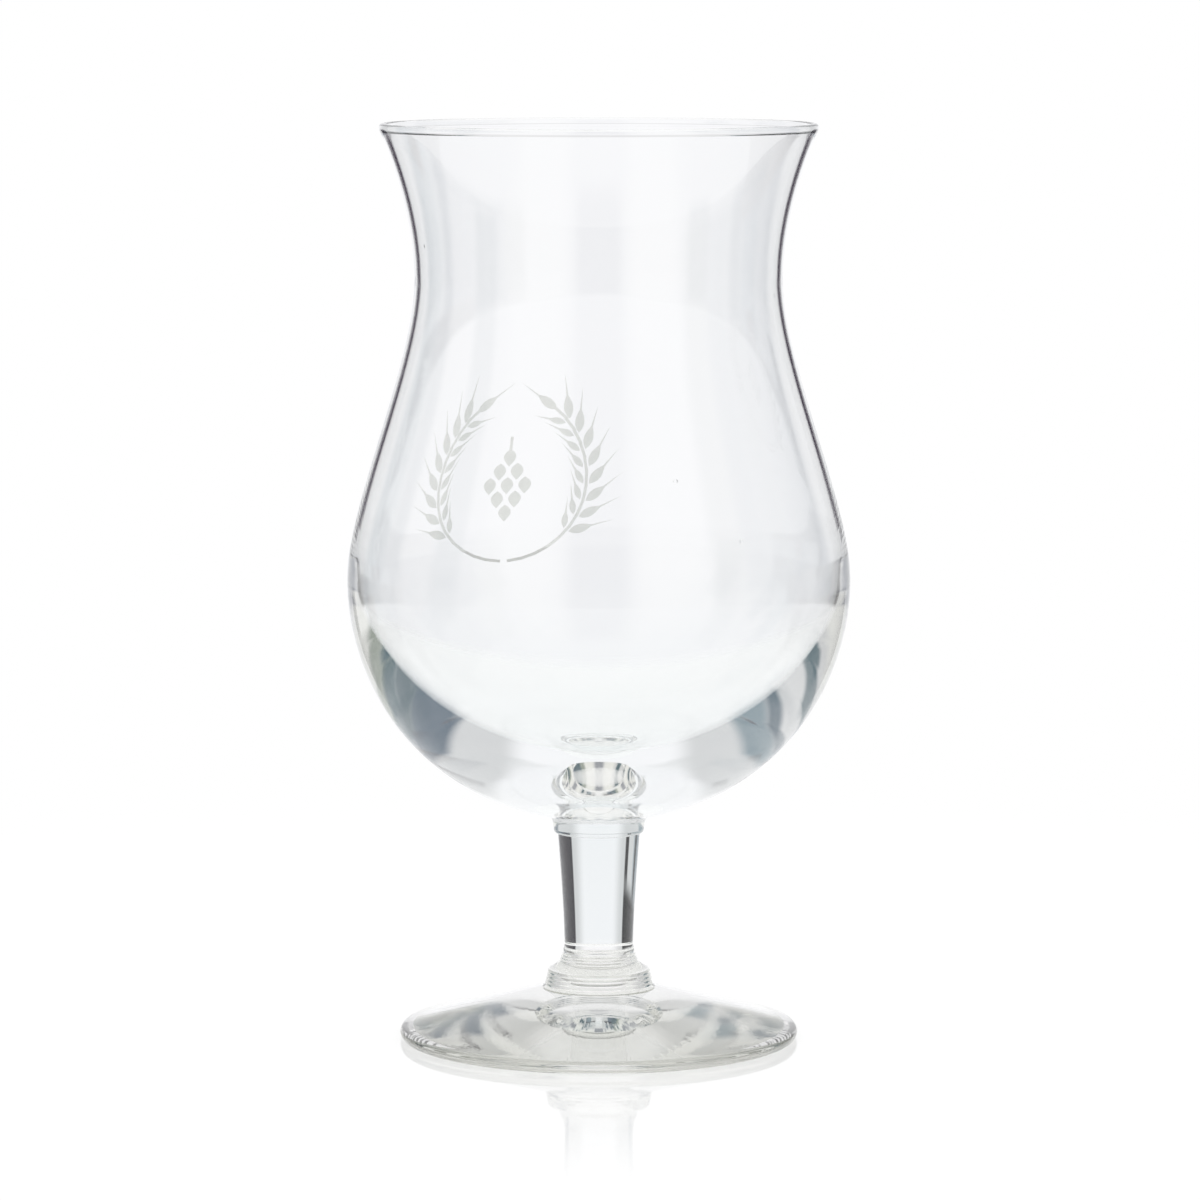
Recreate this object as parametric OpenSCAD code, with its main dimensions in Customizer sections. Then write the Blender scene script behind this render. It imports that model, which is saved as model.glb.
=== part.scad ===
// Tulip beer glass: a blown bowl with a flared lip, fused through a small
// collar to a solid tapered stem, which stands on a pressed disc foot with a
// ringed boss. A thin fired-on enamel ornament lies on the back of the bowl.
// Units are millimetres, +Z is up, and the glass stands on z = 0.

/* [Bowl outside] */
// Height of the bowl, from its seat on the collar to the lip
bowl_h = 117.6; // [100:0.1:140]
// Diameter over the lip
lip_d = 74.1; // [70:0.1:80]
// Diameter of the waist under the lip
waist_d = 62.2; // [56:0.1:66]
// Height of the waist above the collar
waist_up = 91.6; // [85:0.1:97]
// Diameter of the belly
belly_d = 85.4; // [80:0.1:92]
// Height of the widest part of the belly above the collar
belly_up = 40.9; // [36:0.1:50]
// Roundness of the bowl's bottom: 2 is an ellipse, more is fuller
bottom_power = 2.06; // [2:0.01:2.4]

/* [Bowl wall] */
// Wall thickness at the waist and lip
wall = 1; // [0.7:0.05:1.5]
// Wall thickness at the belly
belly_wall = 1.3; // [1:0.05:2.5]
// Height of the widest part of the hollow above the collar
hollow_up = 42.6; // [40:0.1:52]
// Thickness of the glass under the hollow, without the dimple in its floor
base_t = 6.7; // [5:0.1:12]
// Depth of the shallow dimple in the hollow's floor
dimple = 1.2; // [0:0.1:1.5]
// Diameter of the dimple
dimple_d = 30; // [24:0.5:34]
// Thickness of the fire-polished bead round the lip
bead_d = 1.4; // [1.2:0.05:2]
// Angle at which the lip flares outwards
lip_lean = 27; // [18:1:34]

/* [Collar] */
// Height of the collar between bowl and stem
collar_h = 3; // [2:0.1:5]
// Diameter of the collar where it meets the bowl
collar_top_d = 16.7; // [16.4:0.1:18]
// Height of the collar's flared top
collar_flare_h = 1.1; // [0.6:0.1:1.4]
// Diameter of the collar under its flared top
collar_neck_d = 15.8; // [15.4:0.1:16.4]
// Diameter of the collar above its rounded lower edge
collar_low_d = 15.4; // [15.2:0.1:15.8]
// Radius of the collar's rounded lower edge
collar_round = 0.5; // [0.3:0.05:0.5]

/* [Stem] */
// Length of the stem between collar and foot
stem_h = 19.6; // [15:0.1:40]
// Diameter of the stem at the collar
stem_top_d = 14; // [12.5:0.1:14.2]
// Diameter of the stem at the foot
stem_low_d = 11.7; // [9:0.1:12]
// How the stem narrows: 1 is a straight taper, more is narrow sooner
stem_power = 1.4; // [1:0.05:2]

/* [Foot] */
// Diameter of the foot
foot_d = 68; // [60:0.1:80]
// Thickness of the foot's rounded edge
foot_edge = 2.3; // [1.8:0.1:3.5]
// Height of the foot's upper face where it meets the boss
foot_rise = 8.6; // [7:0.1:10]
// Height of the hollow under the foot at its centre
foot_hollow = 1.5; // [0.5:0.1:3]
// Width of the flat ring that the glass stands on
rest_w = 1.8; // [1:0.1:3]

/* [Boss] */
// Height of the ringed boss above the foot's upper face
boss_h = 7.2; // [6:0.1:10]
// Diameter of the boss where it meets the foot
boss_d = 19.2; // [17:0.1:22]
// Depth of the fine mould rings round the boss
ring_depth = 0.16; // [0.08:0.01:0.25]

/* [Enamel] */
// Thickness of the fired enamel
enamel_t = 0.08; // [0.05:0.01:0.15]
// Height of the ornament's middle above the collar
ornament_up = 54; // [48:0.1:60]
// Angle of the ornament's middle round the bowl, from the back towards the left
ornament_turn = 24; // [0:1:60]
// Radius of the ring that the two ears of barley make
wreath_r = 15.5; // [12:0.1:17]
// Width of the stalks
stalk_w = 0.55; // [0.4:0.05:0.9]
// Length of one grain of barley
grain_l = 4.6; // [4:0.1:6]
// Width of one grain of barley
grain_w = 1.7; // [1.4:0.1:2.4]
// Length of the bristle on a grain
awn_l = 4.8; // [3:0.1:6]
// Height of the hop cone in the middle
hop_h = 15.5; // [12:0.1:18]
// Width of the hop cone
hop_w = 10.8; // [8:0.1:13]

/* [Hidden] */
$fn = 96;

// Places up the glass, each worked out from the pieces below it
foot_h = foot_rise + boss_h;
collar_z = foot_h + stem_h;
bowl_z = collar_z + collar_h;
belly_z = bowl_z + belly_up;
waist_z = bowl_z + waist_up;
lip_z = bowl_z + bowl_h;
hollow_z = bowl_z + hollow_up;
ornament_z = bowl_z + ornament_up;

// Steps along each curve of an outline
curve_steps = 20;
arc_steps = 10;

// Points on a smooth curve from a to d, led by the handles b and c
function curve(a, b, c, d, n) = [for (i = [1:n]) let (t = i / n, s = 1 - t)
    s * s * s * a + 3 * s * s * t * b + 3 * s * t * t * c + t * t * t * d];

// Points on an arc of a circle about c, from angle a0 to angle a1
function arc(c, r, a0, a1, n) = [for (i = [0:n]) let (a = a0 + (a1 - a0) * i / n)
    c + r * [cos(a), sin(a)]];

// Radius of a rounded bottom at a share of its depth, as a share of its widest
function bottom_r(share, power) = pow(1 - pow(share, power), 1 / power);

// The lip: centre of its bead, and where each face of the wall runs into it
bead_r = bead_d / 2;
bead_c = [lip_d / 2 - bead_r, lip_z - bead_r];
lip_out = [cos(lip_lean), -sin(lip_lean)];
lip_up = [sin(lip_lean), cos(lip_lean)];
lip_outer = bead_c + bead_r * lip_out;
// The inner face meets the bead one wall in from the outer face
lip_inner_side = bead_r - wall;
lip_inner = bead_c + lip_inner_side * lip_out
    - sqrt(bead_r * bead_r - lip_inner_side * lip_inner_side) * lip_up;
lip_inner_angle = atan2(lip_inner[1] - bead_c[1], lip_inner[0] - bead_c[0]);

// Handle lengths of the wall's curves, as shares of the height they span
shoulder_low_share = 0.239;
shoulder_high_share = 0.279;
neck_share = 0.44;
flare_share = 0.12;

// Outside of the bottom: a rounded form that is cut off at the collar
belly_r = belly_d / 2;
waist_r = waist_d / 2;
collar_top_r = collar_top_d / 2;
bottom_depth = belly_up / bottom_r(collar_top_r / belly_r, bottom_power);
bottom_pts = [for (i = [0:curve_steps])
    let (a0 = asin(pow(collar_top_r / belly_r, bottom_power / 2)),
         a = a0 + (90 - a0) * i / curve_steps)
    [belly_r * pow(sin(a), 2 / bottom_power),
     belly_z - (i == curve_steps ? 0 : bottom_depth * pow(cos(a), 2 / bottom_power))]];

// Outside of the shoulder, from the belly up to the waist
shoulder_h = waist_z - belly_z;
shoulder_pts = curve([belly_r, belly_z],
                     [belly_r, belly_z + shoulder_low_share * shoulder_h],
                     [waist_r, waist_z - shoulder_high_share * shoulder_h],
                     [waist_r, waist_z], curve_steps);

// Outside of the neck, from the waist up to the bead
neck_h = lip_outer[1] - waist_z;
neck_pts = curve([waist_r, waist_z],
                 [waist_r, waist_z + neck_share * neck_h],
                 lip_outer - flare_share * neck_h * lip_up,
                 lip_outer, curve_steps);

// The bead, over the top from the outer face to the inner face
bead_pts = arc(bead_c, bead_r, -lip_lean, lip_inner_angle + 360, arc_steps);

// Inside of the neck, from the bead down to the waist
neck_in_r = waist_r - wall;
neck_in_h = lip_inner[1] - waist_z;
neck_in_pts = curve(lip_inner,
                    lip_inner - flare_share * neck_in_h * lip_up,
                    [neck_in_r, waist_z + neck_share * neck_in_h],
                    [neck_in_r, waist_z], curve_steps);

// Inside of the shoulder, from the waist down to the hollow's widest part: the
// outside moved in by the wall, which thickens near the belly
shoulder_at_z = [for (p = concat([[belly_r, belly_z]], shoulder_pts)) [p[1], p[0]]];
thicken_power = 4;
function wall_at(z) = wall
    + (belly_wall - wall) * pow((waist_z - z) / (waist_z - hollow_z), thicken_power);
hollow_r = lookup(hollow_z, shoulder_at_z) - belly_wall;
hollow_pts = concat([for (i = [len(shoulder_pts) - 2:-1:0]) let (p = shoulder_pts[i])
                        if (p[1] > hollow_z + belly_wall) p - [wall_at(p[1]), 0]],
                    [[hollow_r, hollow_z]]);

// Inside of the bottom: a quarter of an ellipse, down to the dimple in the middle
hollow_depth = hollow_up - base_t;
function dimple_at(r) = dimple * pow(max(0, 1 - pow(2 * r / dimple_d, 2)), 2);
hollow_bottom_pts = [for (i = [1:curve_steps])
    let (a = 90 * i / curve_steps, r = i == curve_steps ? 0 : hollow_r * cos(a))
    [r, hollow_z - hollow_depth * sin(a) - dimple_at(r)]];

module bowl() {
    color([0.90, 0.93, 0.94, 0.45])
        rotate_extrude()
            polygon(concat([[0, bowl_z]], bottom_pts, shoulder_pts, neck_pts,
                           bead_pts, neck_in_pts, hollow_pts, hollow_bottom_pts));
}

// The collar flares out at its top, narrows a little down to a rounded lower
// edge, and has the stem welded under it
stem_top_r = stem_top_d / 2;
stem_low_r = stem_low_d / 2;
collar_low_r = collar_low_d / 2;

module bowl_collar() {
    color([0.80, 0.88, 0.88, 0.55])
        rotate_extrude()
            polygon(concat([[0, bowl_z], [0, collar_z], [stem_top_r, collar_z]],
                           arc([collar_low_r - collar_round, collar_z + collar_round],
                               collar_round, -90, 0, arc_steps),
                           [[collar_neck_d / 2, bowl_z - collar_flare_h],
                            [collar_top_r, bowl_z]]));
}

module stem() {
    color([0.86, 0.87, 0.90, 0.5])
        rotate_extrude()
            polygon(concat([[0, foot_h]],
                [for (i = [0:curve_steps]) let (t = i / curve_steps)
                    [stem_low_r + (stem_top_r - stem_low_r) * pow(t, stem_power),
                     foot_h + stem_h * t]],
                [[0, collar_z]]));
}

// The foot's edge is a half round that runs into the sloping upper face
foot_r = foot_d / 2;
boss_r = boss_d / 2;
edge_r = foot_edge / 2;
edge_c = [foot_r - edge_r, edge_r];
foot_slope = atan2(foot_rise - foot_edge, foot_r - edge_r - boss_r);
rest_r = foot_r - edge_r - rest_w;
edge_pts = arc(edge_c, edge_r, -90, 90 - foot_slope, arc_steps);

// Under the foot a shallow dome rises from the flat ring to the centre
dome_pts = [for (i = [0:curve_steps]) let (t = i / curve_steps)
    [rest_r * t, foot_hollow * (1 - t * t)]];

// The boss from the foot up: shares of the way in from the boss's foot to the
// stem, and shares of the boss's height. A fine ring stands out at each one
// of the low rings and of the top rings.
boss_ledge_shares = [0, 0.04];
low_ring_shares = [[0.13, 0.09], [0.29, 0.46]];
low_ring_count = 4;
cone_shares = [[0.38, 0.47], [0.79, 0.63]];
top_ring_shares = [[0.80, 0.64], [0.96, 0.84]];
top_ring_count = 3;
cap_shares = [[0.95, 0.87], [0.93, 0.93], [0.97, 0.99]];

// A point on the boss from its two shares
function boss_at(s) = [boss_r - (boss_r - stem_low_r) * s[0], foot_rise + boss_h * s[1]];

// Fine mould rings between two places on the boss, each a small ridge
function rings(from, to, count) = [for (i = [0:count - 1], half = [0, 1])
    let (a = boss_at(from + (to - from) * i / count),
         b = boss_at(from + (to - from) * (i + 1) / count))
    half == 0 ? a : (a + b) / 2 + [ring_depth, 0]];

boss_pts = concat([boss_at(boss_ledge_shares)],
                  rings(low_ring_shares[0], low_ring_shares[1], low_ring_count),
                  [for (s = cone_shares) boss_at(s)],
                  rings(top_ring_shares[0], top_ring_shares[1], top_ring_count),
                  [for (s = cap_shares) boss_at(s)],
                  [[stem_low_r, foot_h], [0, foot_h]]);

module foot() {
    color([0.88, 0.90, 0.88, 0.5])
        rotate_extrude()
            polygon(concat(dome_pts, edge_pts, [[boss_r, foot_rise]], boss_pts));
}

// The enamel is a skin on the bowl's outside. Each shape of the ornament is
// pushed through that skin from its own side of the bowl, so that it is
// wrapped round the bowl and not squashed at the sides.
skin_pts = concat(bottom_pts, shoulder_pts);
skin_reach = wreath_r + grain_l + awn_l;
ornament_r = belly_r;
cut_depth = belly_r - waist_r + 2 * enamel_t;

module enamel_skin() {
    rotate_extrude()
        polygon(concat(
            [for (p = skin_pts) if (abs(p[1] - ornament_z) < skin_reach) p],
            [for (i = [len(skin_pts) - 1:-1:0]) let (p = skin_pts[i])
                if (abs(p[1] - ornament_z) < skin_reach) p + [enamel_t, 0]]));
}

// Puts a flat shape on the bowl, u to the right and v up from the ornament's
// middle, as the eye sees it from the front through the glass
module on_bowl(u, v, turn) {
    rotate([0, 0, ornament_turn - u / ornament_r * 180 / PI])
        translate([0, belly_r + enamel_t, ornament_z + v])
            rotate([90, 0, 0])
                linear_extrude(cut_depth)
                    rotate(turn)
                        children();
}

// A grain of barley: a pointed leaf shape that starts at the origin and points up
grain_steps = 6;
grain_taper = 0.85;
awn_root_share = 0.8;
grain_side = [for (i = [0:grain_steps]) let (t = i / grain_steps)
    [sin(180 * pow(t, grain_taper)) / 2, t]];
module grain(l, w) {
    polygon(concat(
        [for (p = grain_side) [w * p[0], l * p[1]]],
        [for (i = [grain_steps - 1:-1:1]) [-w * grain_side[i][0], l * grain_side[i][1]]]));
}

// A grain of barley with its bristle, a long thin spike
module bristled_grain(size_share) {
    l = grain_l * size_share;
    w = stalk_w * awn_w_share;
    grain(l, grain_w * size_share);
    translate([0, l * awn_root_share])
        polygon([[-w / 2, 0], [w / 2, 0], [0, awn_l * size_share]]);
}

// An ear of barley follows the ring from the bottom up one side: a bare stalk
// first, then pairs of grains that lean out from it, and a grain at its tip
ear_start = -87;
ear_bare = -40;
ear_tip = 54;
pair_count = 8;
grain_lean = 34;
stalk_pieces = 14;
awn_w_share = 0.7;
inner_grain_share = 0.72;

module barley_ear(side) {
    intersection() {
        enamel_skin();
        union() {
            for (i = [0:stalk_pieces - 1]) {
                step = (ear_tip - ear_start) / stalk_pieces;
                a = ear_start + step * (i + 0.5);
                l = wreath_r * sin(step) + stalk_w / 2;
                on_bowl(side * wreath_r * cos(a), wreath_r * sin(a), side * a)
                    square([stalk_w, l], center = true);
            }
            for (i = [0:pair_count - 1], out = [-1, 1]) {
                a = ear_bare + (ear_tip - ear_bare) * i / pair_count;
                off = wreath_r + out * stalk_w;
                size_share = out > 0 ? 1 : inner_grain_share;
                on_bowl(side * off * cos(a), off * sin(a), side * (a - out * grain_lean))
                    bristled_grain(size_share);
            }
            on_bowl(side * wreath_r * cos(ear_tip), wreath_r * sin(ear_tip), side * ear_tip)
                bristled_grain(1);
        }
    }
}

module left_barley_ear() {
    color([0.84, 0.85, 0.84]) barley_ear(-1);
}

module right_barley_ear() {
    color([0.84, 0.85, 0.84]) barley_ear(1);
}

// The hop cone: rows of scales that hang point down, widest in the middle,
// with bare glass between them, and a short stalk on top
scale_counts = [1, 2, 3, 2, 1];
scale_rows = len(scale_counts);
row_h = hop_h / (scale_rows + 1);
scale_pitch = hop_w / max(scale_counts);
scale_l_share = 1.22;
scale_w_share = 0.68;

module hop_cone() {
    color([0.84, 0.85, 0.84])
        intersection() {
            enamel_skin();
            union() {
                for (row = [0:scale_rows - 1], k = [0:scale_counts[row] - 1]) {
                    l = row_h * scale_l_share;
                    u = (k - (scale_counts[row] - 1) / 2) * scale_pitch;
                    v = (row - (scale_rows - 1) / 2) * row_h - row_h / 2;
                    on_bowl(u, v, 180)
                        translate([0, -l / 2])
                            grain(l, scale_pitch * scale_w_share);
                }
                on_bowl(0, hop_h / 2 - row_h / 2, 0)
                    square([stalk_w, row_h], center = true);
            }
        }
}

bowl();
bowl_collar();
stem();
foot();
left_barley_ear();
right_barley_ear();
hop_cone();
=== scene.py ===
import math

import bmesh
import bpy
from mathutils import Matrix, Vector
from mathutils.geometry import interpolate_bezier


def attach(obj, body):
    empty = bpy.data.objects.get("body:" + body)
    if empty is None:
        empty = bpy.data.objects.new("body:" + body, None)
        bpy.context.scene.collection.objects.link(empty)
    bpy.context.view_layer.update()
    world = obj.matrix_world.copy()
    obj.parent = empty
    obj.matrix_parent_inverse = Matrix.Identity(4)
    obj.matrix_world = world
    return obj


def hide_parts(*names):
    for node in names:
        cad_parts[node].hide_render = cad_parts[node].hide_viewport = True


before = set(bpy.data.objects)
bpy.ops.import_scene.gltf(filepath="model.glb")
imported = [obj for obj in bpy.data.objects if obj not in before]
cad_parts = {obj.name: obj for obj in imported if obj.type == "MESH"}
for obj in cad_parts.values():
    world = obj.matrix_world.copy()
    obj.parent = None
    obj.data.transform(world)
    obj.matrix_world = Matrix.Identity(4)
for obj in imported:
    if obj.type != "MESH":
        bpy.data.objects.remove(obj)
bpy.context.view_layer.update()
scene = bpy.context.scene

# The bowl: soda-lime glass, blown in a turning mould and cut off at the top,
# where a flame rounded the lip. Its wall is thin and its bottom thick, and it
# sits on the collar, to which it was welded while both were soft.

MM = 0.001
LIP_D, WAIST_D, BELLY_D, COLLAR_TOP_D = 74.1, 62.2, 85.4, 16.7
BOWL_Z, BELLY_Z, HOLLOW_Z, WAIST_Z, LIP_Z = 38.4, 79.3, 81.0, 130.0, 156.0
BOTTOM_POWER = 2.06
WALL, BELLY_WALL, HOLLOW_BOTTOM_Z = 1.0, 1.3, 45.1
DIMPLE, DIMPLE_D = 1.2, 30
BEAD_D, LIP_LEAN = 1.4, 27
ENAMEL_SEAT = 0.03
# How far the outline's curves are pulled along at their ends, as shares of their height
SHOULDER_PULL, WAIST_PULL, NECK_PULL, LIP_PULL = 0.239, 0.279, 0.44, 0.12
BOTTOM_STEPS, SHOULDER_STEPS, NECK_STEPS, BEAD_STEPS, HOLLOW_STEPS = 40, 44, 28, 16, 90
TURN_STEPS, SHARP_EDGE, SAME_PLACE = 192, 40, 1e-6
HAIR, HOLLOW_JOIN = 0.01, 1


def linear(hex_colour):
    """The linear colour of an sRGB hex value, with an alpha of 1."""
    channels = [int(hex_colour[i : i + 2], 16) / 255 for i in (0, 2, 4)]
    return [c / 12.92 if c <= 0.04045 else ((c + 0.055) / 1.055) ** 2.4 for c in channels] + [1]


def add(tree, kind, inputs=(), **settings):
    """Adds a node. An input given as another node's output is linked to it."""
    node = tree.nodes.new(kind)
    for name, value in settings.items():
        setattr(node, name, value)
    for name, value in dict(inputs).items():
        if isinstance(value, bpy.types.NodeSocket):
            tree.links.new(value, node.inputs[name])
        else:
            node.inputs[name].default_value = value
    return node


def curve(a, b, c, d, count):
    """Points on a smooth curve after a and up to d, led by the handles b and c."""
    points = interpolate_bezier(*(Vector((*p, 0)) for p in (a, b, c, d)), count + 1)
    return [Vector((p.x, p.y)) for p in points[1:]]


def arc(centre, radius, start, end, count):
    """Points on an arc round a centre, between two angles in degrees."""
    angles = [math.radians(start + (end - start) * i / count) for i in range(count + 1)]
    return [Vector(centre) + radius * Vector((math.cos(a), math.sin(a))) for a in angles]


# Clear soda-lime glass: its index is 1.52 and its skin is smooth as a mirror. A
# trace of iron tints it by the way that light goes inside it, so thick parts
# look a little green. Slow waves and a few tiny seeds show that it was blown.
glass = bpy.data.materials.new("clear_soda_lime_glass")
glass.use_nodes = True
tree = glass.node_tree
skin = tree.nodes["Principled BSDF"]
skin.inputs["Roughness"].default_value = 0.0
skin.inputs["IOR"].default_value = 1.52
skin.inputs["Transmission Weight"].default_value = 1.0
IRON_TINT, TINT_DEPTH = "E8EFEF", 30 * MM
LONGEST_WAY = 150 * MM
WAVE_LENGTH, WAVE_DEPTH, WAVE_SHARE, DRAWN_OUT = 30 * MM, 0.1 * MM, 0.2, 0.35
SEED_SPACING, SEED_CORE, SEED_RIM = 17 * MM, 0.012, 0.03
light = add(tree, "ShaderNodeLightPath")
side = add(tree, "ShaderNodeNewGeometry")
near = add(tree, "ShaderNodeMath", {0: light.outputs["Ray Length"], 1: LONGEST_WAY},
           operation="LESS_THAN")
inside = add(tree, "ShaderNodeMath", {0: near.outputs[0], 1: side.outputs["Backfacing"]},
             operation="MULTIPLY")
way = add(tree, "ShaderNodeMath", {0: light.outputs["Ray Length"], 1: inside.outputs[0]},
          operation="MULTIPLY")
# The shader takes the root of its colour where light leaves, so the way counts twice
lengths = add(tree, "ShaderNodeMath", {0: way.outputs[0], 1: TINT_DEPTH / 2}, operation="DIVIDE")
iron = add(tree, "ShaderNodeGamma", {"Color": linear(IRON_TINT), "Gamma": lengths.outputs[0]})
tree.links.new(iron.outputs[0], skin.inputs["Base Color"])
place = add(tree, "ShaderNodeTexCoord")
drawn = add(tree, "ShaderNodeMapping", {"Vector": place.outputs["Object"], "Scale": (1, 1, DRAWN_OUT)})
waves = add(tree, "ShaderNodeTexNoise", {"Vector": drawn.outputs[0], "Scale": 1 / WAVE_LENGTH,
                                         "Detail": 1.0})
# Most real seeds are finer than a pixel, so these are drawn up to a millimetre wide
seeds = add(tree, "ShaderNodeTexVoronoi", {"Vector": place.outputs["Object"],
                                           "Scale": 1 / SEED_SPACING})
dents = add(tree, "ShaderNodeMapRange", {"Value": seeds.outputs["Distance"], "From Min": SEED_CORE,
                                         "From Max": SEED_RIM, "To Min": 1.0, "To Max": 0.0},
            interpolation_type="SMOOTHSTEP")
parts = add(tree, "ShaderNodeSeparateXYZ", {0: place.outputs["Object"]})
blown = add(tree, "ShaderNodeMath", {0: parts.outputs["Z"], 1: BELLY_Z * MM}, operation="GREATER_THAN")
dents = add(tree, "ShaderNodeMath", {0: dents.outputs[0], 1: blown.outputs[0]}, operation="MULTIPLY")
relief = add(tree, "ShaderNodeMath", {0: waves.outputs[0], 1: WAVE_SHARE, 2: dents.outputs[0]},
             operation="MULTIPLY_ADD")
bump = add(tree, "ShaderNodeBump", {"Height": relief.outputs[0], "Distance": WAVE_DEPTH,
                                    "Strength": 1.0})
tree.links.new(bump.outputs[0], skin.inputs["Normal"])

# Where two pieces of hot glass were welded there is no surface left to see,
# so light goes straight through the discs where their meshes meet.
weld = bpy.data.materials.new("fused_weld")
weld.use_nodes = True
weld.node_tree.nodes.clear()
through = add(weld.node_tree, "ShaderNodeBsdfTransparent")
add(weld.node_tree, "ShaderNodeOutputMaterial", {"Surface": through.outputs[0]})


def turned(name, outline, welds, node):
    """Spins an outline in millimetres into a glass piece; welds are its (height, radius) discs."""
    bm = bmesh.new()
    points = [bm.verts.new((r * MM, 0, z * MM)) for r, z in outline]
    lines = [bm.edges.new(pair) for pair in zip(points, points[1:])]
    bmesh.ops.spin(bm, geom=points + lines, axis=(0, 0, 1), cent=(0, 0, 0), angle=math.tau,
                   steps=TURN_STEPS, use_merge=True)
    bmesh.ops.remove_doubles(bm, verts=bm.verts, dist=SAME_PLACE)
    bmesh.ops.recalc_face_normals(bm, faces=bm.faces)
    for edge in bm.edges:
        edge.smooth = edge.calc_face_angle(0) < math.radians(SHARP_EDGE)
    for face in bm.faces:
        face.smooth = True
        reach = face.calc_center_median().to_2d().length
        for height, radius in welds:
            level = all(abs(vert.co.z - height * MM) < SAME_PLACE for vert in face.verts)
            if level and reach < radius * MM:
                face.material_index = 1
                face.smooth = False
    mesh = bpy.data.meshes.new(name)
    bm.to_mesh(mesh)
    bm.free()
    mesh.materials.append(glass)
    mesh.materials.append(weld)
    piece = bpy.data.objects.new(name, mesh)
    scene.collection.objects.link(piece)
    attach(piece, "root")
    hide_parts(node)
    return piece


belly_r, waist_r, collar_top_r = BELLY_D / 2, WAIST_D / 2, COLLAR_TOP_D / 2

# The outside, from the collar up to the lip
belly_up = BELLY_Z - BOWL_Z
cut_angle = math.asin((collar_top_r / belly_r) ** (BOTTOM_POWER / 2))
bottom_depth = belly_up / (1 - (collar_top_r / belly_r) ** BOTTOM_POWER) ** (1 / BOTTOM_POWER)
bottom = []
for i in range(BOTTOM_STEPS):
    a = cut_angle + (math.pi / 2 - cut_angle) * i / BOTTOM_STEPS
    bottom.append((belly_r * math.sin(a) ** (2 / BOTTOM_POWER),
                   BELLY_Z - bottom_depth * math.cos(a) ** (2 / BOTTOM_POWER)))
bottom.append((belly_r, BELLY_Z))
rise = WAIST_Z - BELLY_Z
shoulder = curve((belly_r, BELLY_Z), (belly_r, BELLY_Z + SHOULDER_PULL * rise),
                 (waist_r, WAIST_Z - WAIST_PULL * rise), (waist_r, WAIST_Z), SHOULDER_STEPS)
# Above the belly it lies a little further in, so it shares no face with the enamel
shoulder = [point - Vector((ENAMEL_SEAT, 0)) for point in shoulder]
bead_r = BEAD_D / 2
lean = math.radians(LIP_LEAN)
outwards, upwards = Vector((math.cos(lean), -math.sin(lean))), Vector((math.sin(lean), math.cos(lean)))
bead_centre = Vector((LIP_D / 2 - bead_r, LIP_Z - bead_r))
lip_outer = bead_centre + bead_r * outwards
neck_rise = lip_outer.y - WAIST_Z
neck = curve((waist_r, WAIST_Z), (waist_r, WAIST_Z + NECK_PULL * neck_rise),
             lip_outer - LIP_PULL * neck_rise * upwards, lip_outer, NECK_STEPS)

# The inside, from the lip down to the middle of the hollow
inner_side = bead_r - WALL
lip_inner = bead_centre + inner_side * outwards - math.sqrt(bead_r**2 - inner_side**2) * upwards
bead_end = math.degrees(math.atan2(lip_inner.y - bead_centre.y, lip_inner.x - bead_centre.x)) + 360
bead = arc(bead_centre, bead_r, -LIP_LEAN, bead_end, BEAD_STEPS)
neck_fall = lip_inner.y - WAIST_Z
neck_inside = curve(lip_inner, lip_inner - LIP_PULL * neck_fall * upwards,
                    (waist_r - WALL, WAIST_Z + NECK_PULL * neck_fall), (waist_r - WALL, WAIST_Z),
                    NECK_STEPS)
shoulder_inside = []
for r, z in reversed(shoulder[:-1]):
    if z > HOLLOW_Z + HOLLOW_JOIN:
        thicker = (BELLY_WALL - WALL) * ((WAIST_Z - z) / (WAIST_Z - HOLLOW_Z)) ** 4
        shoulder_inside.append((r - WALL - thicker, z))
hollow_r = shoulder_inside[-1][0] + HAIR
hollow = [(hollow_r * math.cos(a), HOLLOW_Z - (HOLLOW_Z - HOLLOW_BOTTOM_Z) * math.sin(a))
          for a in (math.pi / 2 * i / HOLLOW_STEPS for i in range(HOLLOW_STEPS))]
hollow = [(r, z - DIMPLE * max(0.0, 1 - (2 * r / DIMPLE_D) ** 2) ** 2) for r, z in hollow]

turned("blown_bowl", [(0, BOWL_Z)] + bottom + shoulder + neck + bead[1:] + neck_inside
       + shoulder_inside + hollow + [(0, HOLLOW_BOTTOM_Z - DIMPLE)], [(BOWL_Z, collar_top_r)], "bowl")

# The collar: a short gather of the same glass between bowl and stem. Its
# lower edge is rounded, because it was pressed down on the stem while soft.

COLLAR_Z, COLLAR_LOW_D, COLLAR_ROUND, STEM_TOP_D = 35.4, 15.4, 0.5, 14.0
COLLAR_NECK_D, COLLAR_FLARE_H, COLLAR_STEPS = 15.8, 1.1, 8
stem_top_r = STEM_TOP_D / 2
round_centre = (COLLAR_LOW_D / 2 - COLLAR_ROUND, COLLAR_Z + COLLAR_ROUND)
collar_edge = arc(round_centre, COLLAR_ROUND, -90, 0, COLLAR_STEPS)
collar_flare = [(COLLAR_NECK_D / 2, BOWL_Z - COLLAR_FLARE_H), (collar_top_r, BOWL_Z)]
turned("collar", [(0, COLLAR_Z), (stem_top_r, COLLAR_Z)] + collar_edge + collar_flare + [(0, BOWL_Z)],
       [(BOWL_Z, collar_top_r), (COLLAR_Z, stem_top_r)], "bowl_collar")

# The stem: a short solid rod of the same glass, pressed in one with its slow
# taper. It was welded to the collar above it and to the foot's boss below.

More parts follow.
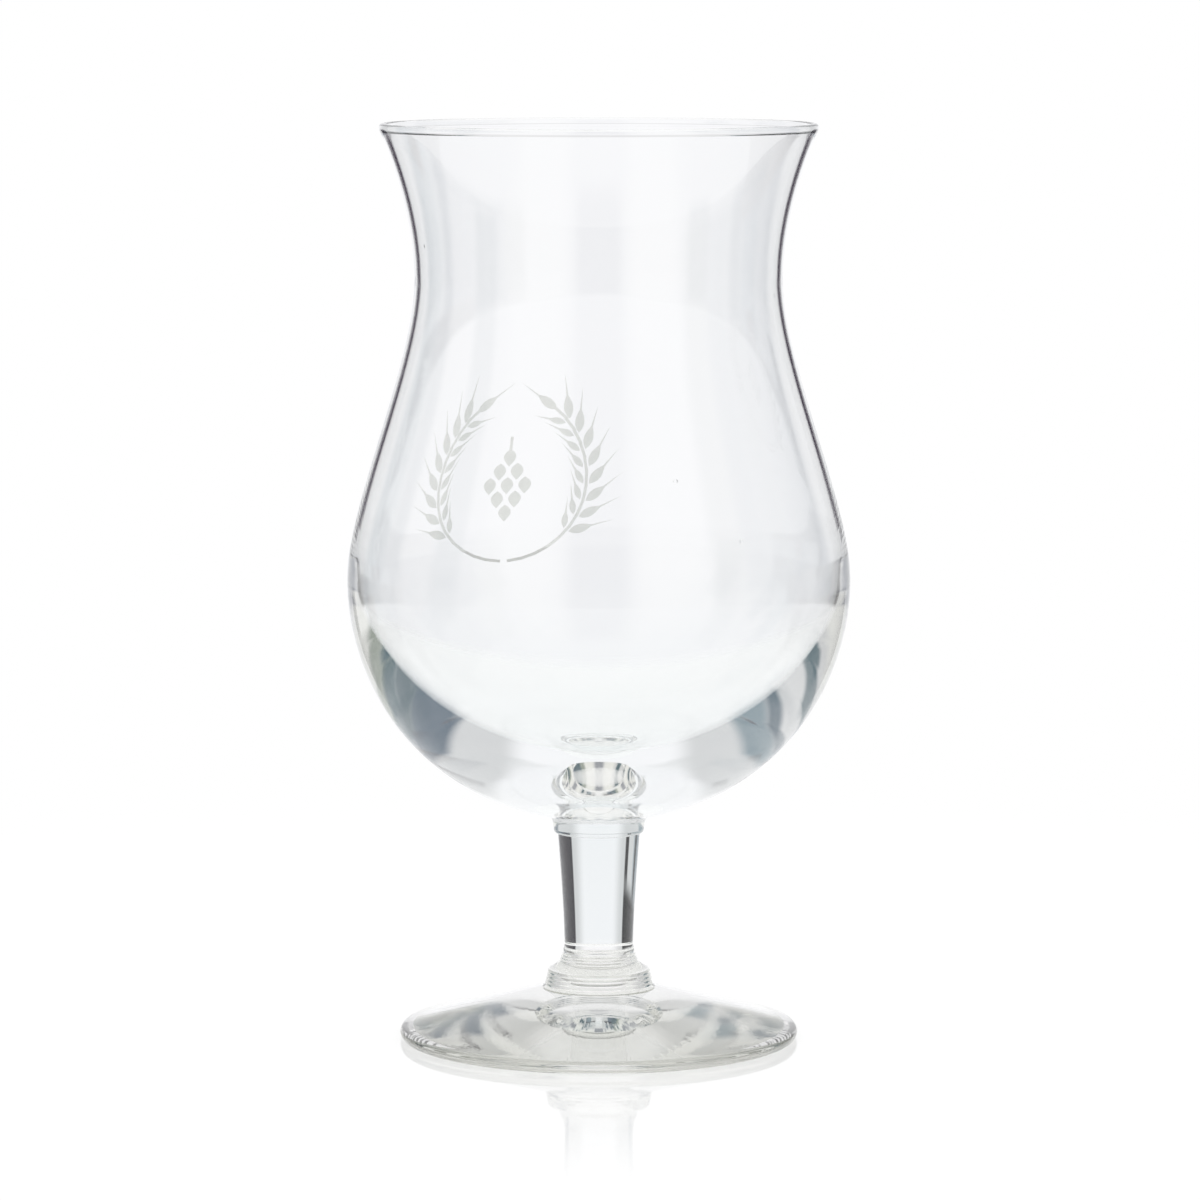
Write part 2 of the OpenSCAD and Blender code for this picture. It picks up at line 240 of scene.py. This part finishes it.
STEM_Z, STEM_LOW_D, STEM_POWER, STEM_STEPS = 15.8, 11.7, 1.4, 24
stem_low_r = STEM_LOW_D / 2
taper = [(stem_low_r + (stem_top_r - stem_low_r) * t**STEM_POWER, STEM_Z + (COLLAR_Z - STEM_Z) * t)
         for t in (i / STEM_STEPS for i in range(STEM_STEPS + 1))]
turned("stem_rod", [(0, STEM_Z)] + taper + [(0, COLLAR_Z)],
       [(STEM_Z, stem_low_r), (COLLAR_Z, stem_top_r)], "stem")

# The foot: a pressed disc of the same glass with a half-round edge. Its mould
# left fine rings on the boss in the middle, and a shallow hollow under it, so
# that the glass stands on a flat ring near the edge.

FOOT_D, FOOT_EDGE, FOOT_RISE, FOOT_HOLLOW, REST_W = 68.0, 2.3, 8.6, 1.5, 1.8
BOSS_H, BOSS_D, RING_DEPTH = 7.2, 19.2, 0.16
DOME_STEPS, EDGE_STEPS = 20, 14
SPOKES_PER_TURN, SPOKE_DEPTH = 220, 0.02
FOOT_IRON, FOOT_TINT = 9, "B3B5A2"
edge_r, boss_r = FOOT_EDGE / 2, BOSS_D / 2
edge_centre = (FOOT_D / 2 - edge_r, edge_r)
slope = math.degrees(math.atan2(FOOT_RISE - FOOT_EDGE, edge_centre[0] - boss_r))
rest_r = edge_centre[0] - REST_W
dome = [(rest_r * t, FOOT_HOLLOW * (1 - t * t)) for t in (i / DOME_STEPS for i in range(DOME_STEPS + 1))]

# The boss, as shares of the way in to the stem and of its height: a ledge, four
# low rings, a cone, three top rings and a cap. Each ring is a small ridge.
boss = [((0, 0.04), (0.13, 0.09), 0)]
boss += [((0.13, 0.09), (0.29, 0.46), 4)]
boss += [((0.38, 0.47), (0.79, 0.63), 0)]
boss += [((0.80, 0.64), (0.96, 0.84), 3)]
boss += [((0.95, 0.87), (0.93, 0.93), 0), ((0.97, 0.99), (0.97, 0.99), 0)]
boss_outline = []
for start, end, rings in boss:
    start, end = (Vector((boss_r - (boss_r - stem_low_r) * s[0], FOOT_RISE + BOSS_H * s[1]))
                  for s in (start, end))
    boss_outline.append(start)
    for k in range(rings):
        boss_outline += [start.lerp(end, (k + 0.5) / rings) + Vector((RING_DEPTH, 0)),
                         start.lerp(end, (k + 1) / rings)]
    if not rings:
        boss_outline.append(end)

foot_edge = arc(edge_centre, edge_r, -90, 90 - slope, EDGE_STEPS)
foot = turned("pressed_foot", dome + foot_edge + [(boss_r, FOOT_RISE)] + boss_outline
              + [(stem_low_r, STEM_Z), (0, STEM_Z)],
              [(STEM_Z, stem_low_r)], "foot")

# Pressed soda-lime glass: it has more iron in it, so it is grey-green where light
# goes far inside. Its underside keeps fine spokes from the mould, which draw the
# light out in rays. The disc that meets the stem belongs to it, but isn't seen.
foot_glass = glass.copy()
foot_glass.name = "pressed_soda_lime_glass"
tree = foot_glass.node_tree
place = tree.nodes["Texture Coordinate"]
skin = tree.nodes["Principled BSDF"]
tree.links.remove(skin.inputs["Base Color"].links[0])
skin.inputs["Base Color"].default_value = linear("FFFFFF")
flat = add(tree, "ShaderNodeVectorMath", {0: place.outputs["Object"], 1: (1, 1, 0)}, operation="MULTIPLY")
spoke = add(tree, "ShaderNodeVectorMath", {0: flat.outputs[0]}, operation="NORMALIZE")
spokes = add(tree, "ShaderNodeTexNoise", {"Vector": spoke.outputs[0], "Detail": 0.0,
                                          "Scale": SPOKES_PER_TURN / math.tau})
parts = add(tree, "ShaderNodeSeparateXYZ", {0: place.outputs["Object"]})
under = add(tree, "ShaderNodeMath", {0: parts.outputs["Z"], 1: (FOOT_HOLLOW + 3 * HAIR) * MM},
            operation="LESS_THAN")
from_boss = add(tree, "ShaderNodeVectorMath", {0: flat.outputs[0]}, operation="LENGTH")
from_boss = add(tree, "ShaderNodeMapRange", {"Value": from_boss.outputs["Value"],
                                             "From Min": boss_r * MM, "From Max": 2 * boss_r * MM})
grown = add(tree, "ShaderNodeMath", {0: under.outputs[0], 1: from_boss.outputs[0]}, operation="MULTIPLY")
pressed = add(tree, "ShaderNodeBump", {"Height": spokes.outputs[0], "Distance": SPOKE_DEPTH * MM,
                                       "Strength": grown.outputs[0],
                                       "Normal": tree.nodes["Bump"].outputs[0]})
tree.links.new(pressed.outputs[0], skin.inputs["Normal"])
top = add(tree, "ShaderNodeMath", {0: parts.outputs["Z"], 1: (STEM_Z - HAIR) * MM},
          operation="GREATER_THAN")
open_top = add(tree, "ShaderNodeBsdfTransparent")
face = add(tree, "ShaderNodeMixShader", {0: top.outputs[0], 1: skin.outputs[0], 2: open_top.outputs[0]})
more_iron = add(tree, "ShaderNodeVolumeAbsorption", {"Color": linear(FOOT_TINT),
                                                     "Density": FOOT_IRON})
tree.links.new(face.outputs[0], tree.nodes["Material Output"].inputs["Surface"])
tree.links.new(more_iron.outputs[0], tree.nodes["Material Output"].inputs["Volume"])
foot.data.materials[0] = foot_glass
foot.data.materials[1] = foot_glass

# The ornament: two ears of barley round a hop cone, screen-printed on the back
# of the bowl in pale glass enamel and fired on. The CAD's thin shapes have the
# right form, so they stay and only get the enamel's finish.

# Fired glass enamel: a pale, half-matt skin of ground glass. It is finely pitted,
# and its shade varies a little from grain to grain. Its real grains are finer
# than a pixel, so they are drawn 0.8 mm wide.
GRAIN, PIT_DEPTH = 0.8 * MM, 0.02 * MM
GLOSSIEST, MATTEST = 0.3, 0.55
enamel = bpy.data.materials.new("fired_glass_enamel")
enamel.use_nodes = True
tree = enamel.node_tree
skin = tree.nodes["Principled BSDF"]
skin.inputs["IOR"].default_value = 1.55
place = add(tree, "ShaderNodeTexCoord")
grains = add(tree, "ShaderNodeTexNoise", {"Vector": place.outputs["Object"],
                                          "Scale": 1 / GRAIN, "Detail": 4.0})
shade = add(tree, "ShaderNodeMix", {"Factor": grains.outputs[0], 6: linear("DCDDDA"),
                                    7: linear("E8E8E5")}, data_type="RGBA")
tree.links.new(shade.outputs[2], skin.inputs["Base Color"])
matt = add(tree, "ShaderNodeMapRange", {"Value": grains.outputs[0], "To Min": GLOSSIEST,
                                        "To Max": MATTEST})
tree.links.new(matt.outputs[0], skin.inputs["Roughness"])
pits = add(tree, "ShaderNodeBump", {"Height": grains.outputs[0], "Distance": PIT_DEPTH,
                                    "Strength": 0.6})
tree.links.new(pits.outputs[0], skin.inputs["Normal"])
for node in ("left_barley_ear", "right_barley_ear", "hop_cone"):
    for slot in bpy.data.objects[node].material_slots:
        slot.material = enamel

# The table: a sheet of polished white acrylic. It shows a faint mirror image
# of the glass, and it goes over into the white backdrop without an edge.

TABLE_R, FADE_FROM, FADE_TO = 340 * MM, 100 * MM, 292.4 * MM
UNDER_FOOT_R, PAST_FOOT_R = 70 * MM, 84 * MM
MIRROR_FROM, MIRROR_TO = 50 * MM, 125 * MM
GLOW, GLOW_SHARE, POLISH = 1.03, 0.75, 0.03
# A look is flat below about 20 degrees; these are 1 less the sine of that angle
FLAT_LOOK_FROM, FLAT_LOOK_TO = 0.655, 0.68
bm = bmesh.new()
bmesh.ops.create_circle(bm, cap_ends=True, segments=96, radius=TABLE_R)
mesh = bpy.data.meshes.new("table_sheet")
bm.to_mesh(mesh)
bm.free()
table = bpy.data.objects.new("table_sheet", mesh)
scene.collection.objects.link(table)

# Polished acrylic: an even white that is also lit from below, under a gloss that
# mirrors more the flatter it is looked at. Through the glass, a flat look along
# the table goes past its far edge and meets the room.
acrylic = bpy.data.materials.new("polished_white_acrylic")
acrylic.use_nodes = True
tree = acrylic.node_tree
tree.nodes.clear()
matt = add(tree, "ShaderNodeBsdfDiffuse", {"Color": linear("FFFFFF")})
glow = add(tree, "ShaderNodeEmission", {"Color": linear("FFFFFF"), "Strength": GLOW})
gloss = add(tree, "ShaderNodeBsdfGlossy", {"Color": linear("FFFFFF"), "Roughness": POLISH})
gone = add(tree, "ShaderNodeBsdfTransparent")
ray = add(tree, "ShaderNodeLightPath")
first = add(tree, "ShaderNodeMath", {0: ray.outputs["Diffuse Depth"], 1: 0.5}, operation="LESS_THAN")
lit = add(tree, "ShaderNodeMath", {0: first.outputs[0], 1: GLOW_SHARE}, operation="MULTIPLY")
sheet = add(tree, "ShaderNodeMixShader", {0: lit.outputs[0], 1: matt.outputs[0], 2: glow.outputs[0]})
place = add(tree, "ShaderNodeTexCoord")
reach = add(tree, "ShaderNodeVectorMath", {0: place.outputs["Object"]}, operation="LENGTH")
mirror = add(tree, "ShaderNodeMapRange", {"Value": reach.outputs["Value"], "From Min": MIRROR_FROM,
                                          "From Max": MIRROR_TO, "To Min": 1.0, "To Max": 0.0},
             interpolation_type="SMOOTHSTEP")
shine = add(tree, "ShaderNodeFresnel", {"IOR": 1.49})
mirror = add(tree, "ShaderNodeMath", {0: mirror.outputs[0], 1: shine.outputs[0]}, operation="MULTIPLY")
sheet = add(tree, "ShaderNodeMixShader", {0: mirror.outputs[0], 1: sheet.outputs[0],
                                          2: gloss.outputs[0]})
edge = add(tree, "ShaderNodeMapRange", {"Value": reach.outputs["Value"], "From Min": FADE_FROM,
                                        "From Max": FADE_TO},
           interpolation_type="SMOOTHSTEP")
past_foot = add(tree, "ShaderNodeMapRange", {"Value": reach.outputs["Value"],
                                             "From Min": UNDER_FOOT_R, "From Max": PAST_FOOT_R})
slant = add(tree, "ShaderNodeLayerWeight", {"Blend": 0.5})
flat = add(tree, "ShaderNodeMapRange", {"Value": slant.outputs["Facing"],
                                        "From Min": FLAT_LOOK_FROM, "From Max": FLAT_LOOK_TO})
past = add(tree, "ShaderNodeMath", {0: past_foot.outputs[0], 1: flat.outputs[0]}, operation="MULTIPLY")
fade = add(tree, "ShaderNodeMix", {"Factor": ray.outputs["Is Transmission Ray"],
                                   "A": edge.outputs[0], "B": past.outputs[0]})
mixed = add(tree, "ShaderNodeMixShader", {0: fade.outputs[0], 1: sheet.outputs[0], 2: gone.outputs[0]})
add(tree, "ShaderNodeOutputMaterial", {"Surface": mixed.outputs[0]})
mesh.materials.append(acrylic)

# The light tent: white cloth on a round frame, bright at the back and grey at
# the sides, where the room shows between the lamps. Glass draws its edges with
# those greys. The table's soft gloss and all matt things meet even white.

TENT_R, TENT_MIDDLE_Z = 350 * MM, 80 * MM
bm = bmesh.new()
bmesh.ops.create_uvsphere(bm, u_segments=128, v_segments=64, radius=TENT_R)
bmesh.ops.translate(bm, verts=bm.verts, vec=(0, 0, TENT_MIDDLE_Z))
mesh = bpy.data.meshes.new("light_tent")
bm.to_mesh(mesh)
bm.free()
tent = bpy.data.objects.new("light_tent", mesh)
scene.collection.objects.link(tent)
tent.visible_camera = tent.visible_diffuse = tent.visible_shadow = False
cloth = bpy.data.materials.new("lit_tent_cloth")
cloth.use_nodes = True
tree = cloth.node_tree
tree.nodes.clear()
place = add(tree, "ShaderNodeTexCoord")
middle = add(tree, "ShaderNodeVectorMath", {0: place.outputs["Object"], 1: (0, 0, TENT_MIDDLE_Z)},
             operation="SUBTRACT")
middle = add(tree, "ShaderNodeVectorMath", {0: middle.outputs[0]}, operation="NORMALIZE")
parts = add(tree, "ShaderNodeSeparateXYZ", {0: middle.outputs[0]})
across = add(tree, "ShaderNodeMath", {0: parts.outputs["X"]}, operation="ABSOLUTE")
# Angles from the middle of the tent's back: to the right, to either side, and up
right = add(tree, "ShaderNodeMath", {0: parts.outputs["X"], 1: parts.outputs["Y"]}, operation="ARCTAN2")
aside = add(tree, "ShaderNodeMath", {0: across.outputs[0], 1: parts.outputs["Y"]}, operation="ARCTAN2")
up = add(tree, "ShaderNodeMath", {0: parts.outputs["Z"]}, operation="ARCSINE")

# Each part of the tent: its colour, the way that its angles are measured, from
# and to that way, from and to in height, and how soft its edges are, in degrees
TENT_PARTS = [
    ("D6D7D8", aside, 21, 200, -90, 120, 7),
    ("E9E9EA", aside, -90, 21, 27, 120, 7),
    ("F4F4F0", aside, 126, 160, -45, 70, 6),
    ("9A9DA4", aside, 166, 200, -20, 40, 4),
    ("82949D", right, -70, -51, -14, 30, 4),
    ("5F707C", right, -80, -70, -14, 30, 3),
    ("586979", right, 54, 85, -14, 30, 4),
    ("4E646E", right, 83, 98, -12, 30, 3),
    ("42606A", right, 97, 114, -12, 30, 3),
    ("42606A", right, -116, -101, -12, 30, 3),
    ("9CA49A", right, 112, 128, -12, 30, 5),
    ("241F2A", right, 31, 86, -34, -7, 1),
    ("0E0B13", right, -80, -31, -34, -13.5, 1),
    ("0E0B13", right, -37, -31, -13.5, -7, 1),
    ("0E0B13", right, -62, -54, -13.5, -7, 1),
]
colour = add(tree, "ShaderNodeRGB").outputs[0]
colour.default_value = linear("FDFDFF")
for part_colour, angle, start, end, low, high, soft in TENT_PARTS:
    masks = []
    for by, near_end, far_end in ((angle, start, end), (up, low, high)):
        limits = [add(tree, "ShaderNodeMapRange",
                      {"Value": by.outputs[0], "From Min": math.radians(limit - soft),
                       "From Max": math.radians(limit + soft)}, interpolation_type="SMOOTHSTEP")
                  for limit in (near_end, far_end)]
        masks.append(add(tree, "ShaderNodeMath", {0: limits[0].outputs[0], 1: limits[1].outputs[0]},
                         operation="SUBTRACT"))
    mask = add(tree, "ShaderNodeMath", {0: masks[0].outputs[0], 1: masks[1].outputs[0]},
               operation="MULTIPLY")
    colour = add(tree, "ShaderNodeMix", {"Factor": mask.outputs[0], 6: colour,
                                         7: linear(part_colour)}, data_type="RGBA").outputs[2]
ray = add(tree, "ShaderNodeLightPath")
after_matt = add(tree, "ShaderNodeMath", {0: ray.outputs["Diffuse Depth"], 1: 1.0}, operation="MINIMUM")
off_table = add(tree, "ShaderNodeMath", {0: ray.outputs["Is Singular Ray"], 1: 0.5},
                operation="LESS_THAN")
plain = add(tree, "ShaderNodeMath", {0: after_matt.outputs[0], 1: off_table.outputs[0]},
            operation="MAXIMUM")
colour = add(tree, "ShaderNodeMix", {"Factor": plain.outputs[0], 6: colour,
                                     7: linear("FFFFFF")}, data_type="RGBA").outputs[2]
lamp = add(tree, "ShaderNodeEmission", {"Color": colour, "Strength": 1.0})
add(tree, "ShaderNodeOutputMaterial", {"Surface": lamp.outputs[0]})
cloth.cycles.emission_sampling = "NONE"
mesh.materials.append(cloth)

# The flags: two pieces of dark felt near the bowl, out of the lens's sight. The
# wall mirrors light so far aside in its own edge that they show there as a fine
# dark line. Any ray that wasn't mirrored inside one wall passes them.

FLAG_CORNERS = [(54, 150), (68, 150), (68, 118), (74, 84), (64, 84), (57, 104), (54, 118)]
FLAG_Y = 60
bm = bmesh.new()
for hand in (1, -1):
    bm.faces.new([bm.verts.new((hand * x * MM, FLAG_Y * MM, z * MM)) for x, z in FLAG_CORNERS])
mesh = bpy.data.meshes.new("black_flags")
bm.to_mesh(mesh)
bm.free()
flags = bpy.data.objects.new("black_flags", mesh)
scene.collection.objects.link(flags)
flags.visible_camera = flags.visible_diffuse = flags.visible_shadow = False
felt = bpy.data.materials.new("black_felt")
felt.use_nodes = True
felt.node_tree.nodes.clear()
tree = felt.node_tree
dark = add(tree, "ShaderNodeEmission", {"Color": linear("48414D")})
gone = add(tree, "ShaderNodeBsdfTransparent")
ray = add(tree, "ShaderNodeLightPath")
unturned = add(tree, "ShaderNodeMath", {0: ray.outputs["Glossy Depth"], 1: 0.5}, operation="LESS_THAN")
two_walls = add(tree, "ShaderNodeMath", {0: ray.outputs["Transmission Depth"], 1: 2.5},
                operation="GREATER_THAN")
past = add(tree, "ShaderNodeMath", {0: unturned.outputs[0], 1: two_walls.outputs[0]}, operation="MAXIMUM")
seen = add(tree, "ShaderNodeMixShader", {0: past.outputs[0], 1: dark.outputs[0], 2: gone.outputs[0]})
add(tree, "ShaderNodeOutputMaterial", {"Surface": seen.outputs[0]})
felt.cycles.emission_sampling = "NONE"
mesh.materials.append(felt)

# The room: an even white light from everywhere, at a strength of 1.

world = bpy.data.worlds.new("even_white")
world.use_nodes = True
scene.world = world
tree = world.node_tree
tree.nodes.clear()
sky = add(tree, "ShaderNodeBackground", {"Color": linear("FFFFFF"), "Strength": 1.0})
add(tree, "ShaderNodeOutputWorld", {"Surface": sky.outputs[0]})
scene.view_settings.view_transform = "Standard"
# Light goes to and fro in the rim many times before it gets out, and it stays
# sharp on its way
MOST_BOUNCES = 128
for limit in ("max_bounces", "glossy_bounces", "transmission_bounces", "transparent_max_bounces"):
    setattr(scene.cycles, limit, MOST_BOUNCES)
scene.cycles.blur_glossy = 0.0

# The camera: a long lens, a little above the glass, that looks slightly down.

camera = bpy.data.objects.new("camera", bpy.data.cameras.new("camera"))
scene.collection.objects.link(camera)
scene.camera = camera
camera.data.sensor_width = 36
camera.data.lens = 165.3
camera.location = (0.0002, -0.930, 0.1817)
LOOKS_DOWN = 6.53
camera.rotation_euler = (math.radians(90 - LOOKS_DOWN), 0, 0)
